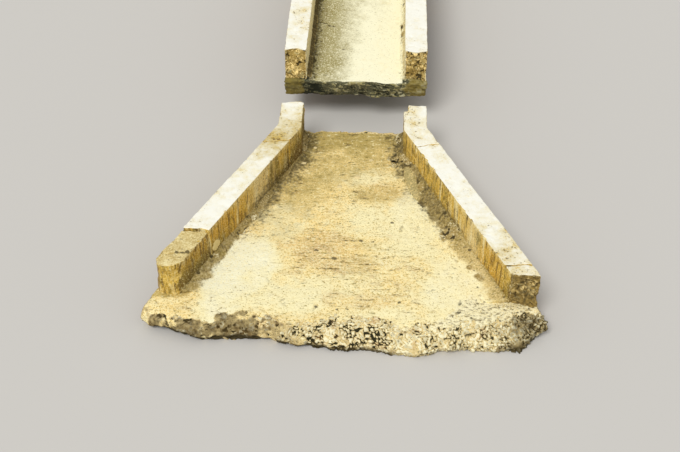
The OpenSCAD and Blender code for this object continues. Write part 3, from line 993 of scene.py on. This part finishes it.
class Paint:
    """One material in the making: its node tree, the values that its coats are laid by, and its colour
    so far. A value is a grain, which is a noise about 0.5 in object space, or else a mark that the mesh
    carries at its points."""

    def __init__(self, name, under):
        self.material = bpy.data.materials.new(name)
        self.material.use_nodes = True
        self.tree = self.material.node_tree
        self.tree.nodes.clear()
        self.place = add(self.tree, "TexCoord").outputs["Object"]
        self.colour = (*under, 1)
        self.values = {}

    def value(self, label):
        """The socket of a named value, whose nodes are added when it is first asked for."""
        if label in self.values:
            return self.values[label]
        if label in GRAINS:
            size, detail, roughness, scale = GRAINS[label]
            drawn = add(self.tree, "Mapping", {"Vector": self.place, "Scale": scale}).outputs[0]
            made = add(self.tree, "TexNoise", {"Vector": drawn, "Scale": 1 / size, "Detail": detail,
                                               "Roughness": roughness}).outputs[0]
        else:
            made = add(self.tree, "Attribute", attribute_name=label).outputs["Fac"]
        self.values[label] = made
        return made

    def mixed(self, weights):
        """Sum of named values, each times its weight."""
        total = 0.0
        for label, weight in weights.items():
            total = add(self.tree, "Math", {0: self.value(label), 1: weight, 2: total},
                        operation="MULTIPLY_ADD").outputs[0]
        return total

    def coat(self, over, low, high, most=1.0, within=None, **weights):
        """Lays a colour over the colour so far. Its share rises smoothly from 0 to most as the mixed
        values go from low to high, and is cut down to the share within. Gives the share."""
        share = add(self.tree, "MapRange", {"Value": self.mixed(weights), "From Min": low, "From Max": high,
                                            "To Max": most}, interpolation_type="SMOOTHSTEP").outputs[0]
        if within is not None:
            share = add(self.tree, "Math", {0: share, 1: within}, operation="MULTIPLY").outputs[0]
        self.colour = add(self.tree, "Mix", {0: share, 6: self.colour, 7: (*over, 1)},
                          data_type="RGBA").outputs[2]
        return share

    def breaks(self, paste, gap, grey, pale):
        """Broken concrete over the colour so far: paste, stones by their own tone, and dark hollows. Gives
        its share, which is kept as the value torn as well."""
        torn = self.coat(paste, 0.45, 0.75, broken=1, sand=0.5)
        self.coat(pale, 0.50, 0.70, 0.7, within=torn, mottle=0.4, sand=0.6)
        self.coat(gap, 0.50, 0.30, 0.7, within=torn, mottle=0.4, sand=0.6)
        shown = self.coat(pale, 0.85, 1.00, within=torn, stone=1, sand=0.4)
        self.coat(grey, 0.75, 0.35, within=shown, tone=1, sand=0.3)
        self.coat(paste, 0.98, 1.08, 0.8, within=shown, tone=1, sand=0.3)
        self.coat(gap, 0.70, 0.42, within=torn, stone=1, sand=0.5)
        self.coat(gap, 0.60, 0.67, 0.7, within=torn, speck=0.7, mottle=0.3)
        self.values["torn"] = torn
        return torn

    def done(self, depth, **weights):
        """Ends in a dull mineral surface whose bump is the mixed values times depth, in metres."""
        bump = add(self.tree, "Bump", {"Height": self.mixed(weights), "Distance": depth}).outputs[0]
        shader = add(self.tree, "BsdfPrincipled", {"Base Color": self.colour, "Normal": bump,
                                                   "Roughness": 0.9, "Specular IOR Level": 0.25})
        add(self.tree, "OutputMaterial", {"Surface": shader.outputs[0]})
        return self.material


def lay_soil(paint, low, high, **weights):
    """Soil stain of a buried face, clouded with paler and darker earth."""
    p = palette()
    soil = paint.coat(p.earth, low, high, 0.92, **weights)
    paint.coat(p.mortar, 0.50, 0.66, 0.60, within=soil, patch=0.5, mottle=0.5)
    paint.coat(p.face_dark, 0.48, 0.34, 0.70, within=soil, patch=0.6, mottle=0.4)
    paint.coat(p.face_dark, 0.52, 0.70, 0.60, within=soil, speck=0.6, sand=0.4)


def lay_face(paint):
    """Face of a wall, streaked by what ran down it: ochre with iron, olive with algae, pale with lime,
    with dark drips between, pitted, dirty and damp at its foot, and darker in a band along its very bottom."""
    p = palette()
    paint.coat(p.face_ochre, 0.90, 1.40, 0.95, iron=0.7, streak=0.8, patch=0.4)
    paint.coat(p.face_olive, 0.90, 1.40, 0.95, algae=0.7, streak=0.7, patch=0.5)
    paint.coat(p.face_dark, 1.15, 1.80, 0.85, algae=0.8, streak=0.6, drip=0.4)
    paint.coat(p.face_light, 0.50, 0.61, 0.90, streak=0.8, patch=0.2, algae=-0.05, iron=-0.03)
    paint.coat(p.face_olive, 0.49, 0.39, 0.90, streak=0.7, patch=0.3, iron=0.03)
    paint.coat(p.face_light, 0.75, 1.15, 0.6, runs=0.5, drip=1)
    paint.coat(p.face_light, 0.52, 0.68, 0.70, drip=0.8, patch=0.2, algae=-0.07, iron=-0.03)
    paint.coat(p.face_dark, 0.48, 0.35, 0.85, drip=0.8, patch=0.2, algae=-0.05)
    paint.coat(p.limewash_worn, 0.55, 0.95, 0.92, lime=0.7, streak=0.3, patch=0.2)
    paint.coat(p.grime, 0.90, 1.35, 0.85, foot=0.6, mottle=0.7, speck=0.6)
    paint.coat(p.grime, 0.59, 0.70, 0.7, speck=0.5, mottle=0.5, foot=0.03)
    paint.coat(p.face_dark, 0.50, 0.26, 0.7, sand=1)
    paint.coat(p.face_light, 0.50, 0.76, 0.7, sand=1)
    # A darker band along the very bottom of the face.
    paint.coat(p.grime, 0.85, 1.25, 0.85, grime=0.55, mottle=0.7, sand=0.3)
    lay_soil(paint, 0.80, 1.20, buried=0.7, patch=0.4, mottle=0.3)


def whitewashed_concrete():
    """Cast walls, limewashed on top: near-white tops with fine dark specks and yellowed, worn patches,
    and a thin rim of plaster round the rubble of a broken end."""
    p = palette()
    paint = Paint("Limewashed cast concrete", p.face_sand)
    lay_face(paint)
    paint.coat(p.patch, 0.4, 0.6, daub=1)
    wash = paint.coat(p.limewash, 0.55, 0.85, wash=1, sand=0.4)
    paint.coat(p.limewash_worn, 0.62, 1.02, 0.95, within=wash, patch=0.9, mottle=0.5, dirt=0.25)
    paint.coat(p.face_sand, 0.92, 1.30, 0.75, within=wash, mottle=0.6, patch=0.8, dirt=0.30)
    paint.coat(p.apron_olive, 0.90, 1.45, 0.85, within=wash, dirt=0.75, patch=0.7, mottle=0.3)
    paint.coat(p.face_sand, 0.57, 0.72, 0.75, within=wash, sand=0.5, patch=0.5, dirt=0.05)
    paint.coat(p.face_dark, 0.60, 0.70, 0.80, within=wash, speck=0.6, patch=0.4, dirt=0.06)
    paint.coat(p.grime, 0.4, 0.9, 0.75, hole=1)
    torn = paint.breaks(p.paste_dark, p.grime, p.mortar_grey, p.apron_sand)
    paint.coat(p.face_dark, 0.70, 1.25, 0.60, within=torn, dirt=0.9, mottle=0.5, patch=0.5)
    paint.coat(p.grime, 0.90, 1.15, 0.85, within=torn, dirt=0.7, speck=0.6, mottle=0.5)
    paint.coat(p.limewash_worn, 0.7, 1.0, 0.9, coat=1, sand=0.4, dirt=-0.7)
    return paint.done(0.0016, sand=1, speck=-0.6, drip=-0.3, torn=0.3)


def patched_concrete():
    """Hand-placed concrete without limewash: buff and sandy on top, rubbed smooth, clouded and specked."""
    p = palette()
    paint = Paint("Hand-placed buff concrete", p.face_sand)
    lay_face(paint)
    top = paint.coat(p.patch, 0.5, 0.8, wash=1, sand=0.4)
    paint.coat(p.apron_pale, 0.68, 0.98, 0.85, within=top, patch=0.9, mottle=0.5)
    paint.coat(p.paste_dark, 0.64, 0.42, 0.85, within=top, patch=0.7, mottle=0.5)
    paint.coat(p.face_dark, 0.57, 0.68, 0.8, within=top, speck=0.6, mottle=0.4)
    paint.coat(p.paste_dark, 0.50, 0.26, 0.7, within=top, sand=1)
    paint.coat(p.apron_pale, 0.50, 0.76, 0.7, within=top, sand=1)
    paint.coat(p.grime, 0.45, 0.9, 0.8, hole=1)
    paint.breaks(p.paste_dark, p.face_dark, p.mortar_grey, p.apron_sand)
    return paint.done(0.0018, sand=1, mottle=0.7, speck=-0.5)


def lay_floor(paint):
    """Floated slab worn by water: cream where washed, sandy between, olive with algae where damp, brown
    where silt lay, with trowel marks across it and its sand laid bare."""
    p = palette()
    paint.coat(p.apron_pale, 0.46, 0.76, 0.95, broad=0.4, patch=0.4, mottle=0.4, pale=0.24, soil=-0.04,
               damp=-0.20)
    paint.coat(p.rust, 0.95, 1.65, 0.32, soil=0.8, mottle=0.9, trowel=0.6)
    paint.coat(p.apron_olive, 1.12, 1.92, 0.98, damp=1.00, mottle=0.6, patch=0.9, broad=0.5)
    paint.coat(p.face_olive, 0.88, 1.28, 0.65, damp=0.35, patch=0.8, mottle=0.5)
    paint.coat(p.rust, 0.53, 0.70, 0.50, patch=0.5, trowel=0.5, soil=0.05, pale=-0.05, damp=-0.03)
    paint.coat(p.mortar, 0.55, 0.69, 0.70, trowel=0.8, mottle=0.2, soil=0.06, pale=-0.05)
    paint.coat(p.chute_pale, 1.05, 2.00, 0.98, pale=0.65, mottle=1.0, patch=0.6)
    paint.coat(p.apron_olive, 0.49, 0.32, 0.85, sand=1, pale=0.06)
    paint.coat(p.face_olive, 0.38, 0.22, 0.85, sand=1, pale=0.03)
    paint.coat(p.apron_pale, 0.50, 0.68, 0.90, sand=1, damp=-0.08)
    paint.coat(p.face_olive, 0.55, 0.70, 0.75, wisp=0.8, patch=0.2, damp=0.02, soil=0.03, pale=-0.03)
    paint.coat(p.apron_pale, 0.45, 0.32, 0.80, wisp=0.8, patch=0.2)
    paint.coat(p.grime, 0.60, 0.68, 0.75, wisp=0.5, trowel=0.5, soil=0.04, damp=0.03, pale=-0.03)
    # Dark along the walls' feet; on the outlet's floor this band is partly dirt and partly painted shade.
    paint.coat(p.grime, 0.90, 1.30, 0.80, foot=0.5, mottle=0.7, speck=0.7)


def apron_concrete():
    """The outlet's floated slab, and its lip, where the cream gravel is laid bare over mossy hollows, with
    painted shade towards the lip's foot.
    """
    p = palette()
    paint = Paint("Rain-washed apron concrete", p.apron_sand)
    lay_floor(paint)
    paint.coat(p.stone_pale, 0.85, 1.15, 0.8, stony=0.5, mottle=0.4, sand=0.7)
    paint.coat(p.face_dark, 0.95, 1.15, 0.7, stony=0.38, wisp=0.6, speck=0.6)
    lay_soil(paint, 0.6, 1.1, buried=1, patch=0.5)
    paint.coat(p.grime, 0.35, 0.9, 0.85, hole=1)
    torn = paint.breaks(p.paste, p.moss_and_shade, p.stone_grey, p.stone_pale)
    paint.coat(p.rust, 0.52, 0.70, 0.45, within=torn, patch=0.7, mottle=0.3)
    # By the shade mark these coats darken the lip: painted shade towards its foot, and moss with painted
    # shadow on its left.
    paint.coat(p.face_dark, 0.62, 0.80, 0.6, within=torn, patch=0.7, mottle=0.3, shade=0.3)
    paint.coat(p.face_dark, 0.85, 1.45, 0.75, within=torn, shade=0.7, mottle=0.7, speck=0.7)
    paint.coat(p.moss_and_shade, 0.80, 1.50, 0.80, shade=1, mottle=0.7, speck=0.3)
    return paint.done(0.0026, sand=1, mottle=0.8, speck=-0.6, trowel=-0.5, torn=0.3)


def fillet_mortar():
    """Mortar laid by hand and left rough over the edge of the slab, whose finish it fades into:
    grey-brown, lumpy, with sand standing out of it, and darker along its toe, round its lump and where it
    meets the wall."""
    p = palette()
    paint = Paint("Hand-laid fillet mortar", p.apron_sand)
    lay_floor(paint)
    laid = paint.coat(p.mortar, 0.55, 1.15, 0.95, laid=0.8, mottle=0.4, speck=0.5)
    paint.coat(p.apron_sand, 0.54, 0.72, 0.5, within=laid, patch=0.5, mottle=0.5)
    paint.coat(p.paste, 0.75, 0.30, 0.75, within=laid, grime=1, mottle=0.4)
    paint.coat(p.face_olive, 0.49, 0.34, 0.8, within=laid, mottle=0.5, patch=0.5)
    paint.coat(p.grime, 0.57, 0.67, 0.80, within=laid, speck=0.7, mottle=0.3)
    paint.coat(p.face_olive, 0.50, 0.30, 0.8, within=laid, sand=1)
    paint.coat(p.apron_pale, 0.50, 0.78, 0.6, within=laid, sand=1)
    lump = paint.coat(p.mortar_grey, 0.45, 0.75, 0.9, lump=1, mottle=0.2)
    paint.coat(p.apron_sand, 0.53, 0.61, 0.7, within=lump, sand=0.5, mottle=0.5)
    paint.coat(p.face_olive, 0.47, 0.39, 0.7, within=lump, sand=0.5, mottle=0.5)
    paint.coat(p.grime, 1.00, 1.50, 0.85, grime=0.8, mottle=0.6, speck=0.8)
    paint.coat(p.grime, 0.4, 0.9, 0.8, hole=1)
    paint.breaks(p.mortar, p.grime, p.stone_grey, p.stone_pale)
    return paint.done(0.0026, sand=1, mottle=0.8, speck=-0.6, torn=0.3)


def chute_concrete():
    """Trowelled slab that dries on its right side and stays damp on its left, where it is greyer and
    speckled; its break is dark under the channel, partly wet and partly painted shade, painted lighter
    towards its right, and soil-brown under the walls."""
    p = palette()
    paint = Paint("Trowelled chute concrete", p.chute_pale)
    paint.coat(p.apron_sand, 0.70, 1.05, 0.5, patch=0.8, mottle=0.6, damp=-0.1)
    paint.coat(p.chute_grey, 0.60, 1.22, 0.98, damp=0.85, patch=0.5, mottle=0.5)
    paint.coat(p.face_olive, 0.85, 1.35, 0.70, damp=0.25, mottle=0.8, patch=0.6)
    paint.coat(p.grime, 0.62, 0.74, 0.8, wisp=0.4, speck=0.4, patch=0.2, damp=0.06)
    paint.coat(p.chute_pale, 0.50, 0.70, 0.8, sand=1)
    paint.coat(p.face_olive, 0.38, 0.20, 0.8, sand=1, damp=-0.12)
    paint.coat(p.grime, 0.95, 1.25, 0.85, foot=0.5, mottle=0.7, speck=0.7)
    paint.coat(p.grime, 0.35, 0.9, 0.85, hole=1)
    lay_soil(paint, 0.6, 1.1, buried=1, patch=0.5)
    torn = paint.breaks(p.slate, p.slate_dark, p.slate_pale, p.chute_grey)
    paint.coat(p.face_olive, 1.3, 1.6, 0.9, within=torn, side=1, patch=0.6, mottle=0.4)
    return paint.done(0.0016, sand=1, mottle=0.6, speck=-0.6, torn=0.3)


def buried_concrete():
    """Concrete cast against dug earth: soil-brown, rough and honeycombed."""
    p = palette()
    paint = Paint("Earth-cast concrete", p.paste_dark)
    paint.coat(p.earth, 0.40, 0.60, 0.9, patch=1)
    paint.coat(p.mortar, 0.55, 0.70, 0.6, mottle=1)
    paint.breaks(p.paste_dark, p.grime, p.mortar, p.stone_grey)
    return paint.done(0.002, sand=1, mottle=0.8, torn=0.3)


FINISHES = {make.__name__: make for make in (
    whitewashed_concrete, apron_concrete, patched_concrete, fillet_mortar, chute_concrete, buried_concrete)}


@cache
def finish_named(slot):
    """The material of a slot, made the first time that it is asked for."""
    return FINISHES[slot]()


def pale_floor(stage):
    """A plain square of matt paper, half a millimetre below the object."""
    r, below = stage.reach, -0.0005
    mesh = bpy.data.meshes.new("floor")
    mesh.from_pydata([(-r, -r, below), (r, -r, below), (r, r, below), (-r, r, below)], [], [(0, 1, 2, 3)])
    paper = bpy.data.materials.new("Plain pale floor")
    paper.use_nodes = True
    shader = paper.node_tree.nodes["Principled BSDF"]
    shader.inputs["Base Color"].default_value = (*stage.floor, 1)
    shader.inputs["Roughness"].default_value = 1.0
    shader.inputs["Specular IOR Level"].default_value = 0.0
    mesh.materials.append(paper)
    floor = in_scene("floor", mesh)


def soft_light(stage):
    """White light from all round and one soft sun. The camera sees the floor's colour past its edge."""
    world = bpy.data.worlds.new("Soft sky")
    world.use_nodes = True
    tree = world.node_tree
    tree.nodes.clear()
    seen = add(tree, "LightPath").outputs["Is Camera Ray"]
    light = add(tree, "Background", {"Color": (1, 1, 1, 1), "Strength": stage.sky}).outputs[0]
    backdrop = add(tree, "Background", {"Color": (*stage.floor, 1), "Strength": 1.0}).outputs[0]
    both = add(tree, "MixShader", {0: seen, 1: light, 2: backdrop}).outputs[0]
    add(tree, "OutputWorld", {"Surface": both})
    bpy.context.scene.world = world
    sun = bpy.data.lights.new("Soft sun", "SUN")
    sun.energy = stage.sun
    sun.angle = stage.sun_size
    in_scene("Soft sun", sun).rotation_euler = Vector(stage.sun_from).to_track_quat("Z", "Y").to_euler()


def photograph_view(stage):
    """The camera, turned from level by the yaw and the pitch."""
    lens = bpy.data.cameras.new("Photograph's view")
    lens.sensor_fit = "HORIZONTAL"
    lens.sensor_width = 36
    lens.lens = stage.lens
    lens.clip_end = 4 * stage.reach
    camera = in_scene("Photograph's view", lens)
    camera.location = stage.camera
    camera.rotation_euler = (pi / 2 - stage.pitch, 0, stage.yaw)
    bpy.context.scene.camera = camera


class OUTLET_OT_stage(Operator):
    """Floor, soft light and the camera at the photograph's view"""
    bl_idname = "outlet.stage"
    bl_label = "Stage"

    def execute(self, context):
        stage = context.scene.outlet_stage
        pale_floor(stage)
        soft_light(stage)
        photograph_view(stage)
        context.scene.view_settings.view_transform = "Standard"
        return {"FINISHED"}


# From here on, every piece gets a seed of its own, counted from the common one.
class OUTLET_OT_apron(Operator):
    """The outlet's slab, with its broken lip and its broken throat edge"""
    bl_idname = "outlet.apron"
    bl_label = "Apron slab"

    def execute(self, context):
        apron("apron_slab", wear().seed + 100)
        return {"FINISHED"}


class OUTLET_OT_throat_walls(Operator):
    """The walls round the bend, broken off at the throat and cracked below the bend"""
    bl_idname = "outlet.throat_walls"
    bl_label = "Throat walls"

    def execute(self, context):
        s, seed = sizes(), wear().seed
        broken = ("broken", (s.throat, 0, seed + 210))
        for name, side in SIDES.items():
            wall(name + "_throat_wall", side, s.slab, broken, ("above crack", BENDS[side]),
                 seed + 215 + 15 * side, WEATHER[side], knocked_off=side == RIGHT)
        return {"FINISHED"}


class OUTLET_OT_wing_walls(Operator):
    """The splayed walls between the cracks"""
    bl_idname = "outlet.wing_walls"
    bl_label = "Wing walls"

    def execute(self, context):
        s, seed = sizes(), wear().seed
        for name, side in SIDES.items():
            wall(name + "_wing_wall", side, s.slab, ("below crack", BENDS[side]),
                 ("above crack", JOINTS[side]), seed + 275 + 15 * side, WEATHER[side])
        return {"FINISHED"}


class OUTLET_OT_wing_ends(Operator):
    """The rebuilt end of the left wing and the cracked-off end of the right one"""
    bl_idname = "outlet.wing_ends"
    bl_label = "Wing ends"

    def execute(self, context):
        s, seed = sizes(), wear().seed
        rebuilt_end("left_wing_end", -s.flare, seed + 320)
        wall("right_wing_end", RIGHT, s.slab, ("below crack", JOINTS[RIGHT]),
             ("broken", (-s.flare, 0, seed + 360)), seed + 350, WEATHER[RIGHT])
        return {"FINISHED"}


class OUTLET_OT_fillets(Operator):
    """The mortar along the feet of the outlet's walls"""
    bl_idname = "outlet.fillets"
    bl_label = "Outlet fillets"

    def execute(self, context):
        s, w = sizes(), wear()
        for name, side in SIDES.items():
            wing = FILLETS[side]
            throat = {row: (THROAT_FILLET.get(row, values[0]), values[0]) for row, values in wing.items()}
            fillet(name + "_throat_fillet", side, s.slab, s.throat - w.tear, 0.0, throat, outlet_ground,
                   w.seed + 400 + side)
            fillet(name + "_wing_fillet", side, s.slab, 0.0, -s.flare + w.tear, wing, outlet_ground,
                   w.seed + 430 + side)
        return {"FINISHED"}


class OUTLET_OT_chute_slabs(Operator):
    """The chute's slab, a bay at a time, with its broken lower end"""
    bl_idname = "outlet.chute_slabs"
    bl_label = "Chute slabs"

    def execute(self, context):
        for bay in BAYS:
            chute_slab(f"chute_slab_{bay}", bay, wear().seed + 500 + 30 * bay)
        return {"FINISHED"}


class OUTLET_OT_chute_walls(Operator):
    """The chute's walls, a bay at a time, broken off above the lowest slab's end"""
    bl_idname = "outlet.chute_walls"
    bl_label = "Chute walls"

    def execute(self, context):
        s, seed = sizes(), wear().seed
        for bay, (name, side) in product(BAYS, SIDES.items()):
            low_y, high_y = bay_ends(bay)
            own = seed + 600 + 60 * bay + 15 * side
            low = ("broken", (low_y + s.setback, 0, own + 5)) if bay == 1 else ("cast", (low_y, 0, own))
            wall(f"chute_{name}_wall_{bay}", side, s.chute_top, ("cast", (high_y, 0, own)), low, own,
                 CHUTE_WEATHER[side])
        return {"FINISHED"}


class OUTLET_OT_chute_fillets(Operator):
    """The mortar along the feet of the chute's walls"""
    bl_idname = "outlet.chute_fillets"
    bl_label = "Chute fillets"

    def execute(self, context):
        s, w = sizes(), wear()
        for bay, (name, side) in product(BAYS, SIDES.items()):
            low_y, high_y = bay_ends(bay)
            start = low_y + (s.setback + w.tear if bay == 1 else 0)
            fillet(f"chute_{name}_fillet_{bay}", side, s.chute_top, high_y, start, CHUTE_FILLETS[side],
                   chute_ground, w.seed + 800 + 30 * bay + side)
        return {"FINISHED"}


class OUTLET_OT_anchors(Operator):
    """The cut-off walls under the chute's bays"""
    bl_idname = "outlet.anchors"
    bl_label = "Cut-off walls"

    def execute(self, context):
        for bay in BAYS:
            anchor(f"chute_anchor_{bay}", wear().seed + 900 + 30 * bay)
        return {"FINISHED"}


STEPS = (OUTLET_OT_stage, OUTLET_OT_apron, OUTLET_OT_throat_walls, OUTLET_OT_wing_walls,
         OUTLET_OT_wing_ends, OUTLET_OT_fillets, OUTLET_OT_chute_slabs, OUTLET_OT_chute_walls,
         OUTLET_OT_chute_fillets, OUTLET_OT_anchors)


class OUTLET_PT_panel(Panel):
    """Lists the steps that build the outlet"""
    bl_idname = "OUTLET_PT_panel"
    bl_label = "Drainage chute outlet"
    bl_space_type = "VIEW_3D"
    bl_region_type = "UI"
    bl_category = "Outlet"

    def draw(self, context):
        for step in STEPS:
            self.layout.operator(step.bl_idname)


GROUPS = {
    "outlet_sizes": OutletSizes,
    "outlet_wear": OutletWear,
    "outlet_colours": OutletColours,
    "outlet_stage": OutletStage,
}


def register():
    for kind in (*GROUPS.values(), *STEPS, OUTLET_PT_panel):
        bpy.utils.register_class(kind)
    for name, group in GROUPS.items():
        setattr(bpy.types.Scene, name, PointerProperty(type=group))


def unregister():
    for name in GROUPS:
        delattr(bpy.types.Scene, name)
    for kind in (OUTLET_PT_panel, *reversed(STEPS), *GROUPS.values()):
        bpy.utils.unregister_class(kind)


def main():
    register()
    for step in STEPS:
        space, name = step.bl_idname.split(".")
        getattr(getattr(bpy.ops, space), name)()


if __name__ == "__main__":
    main()
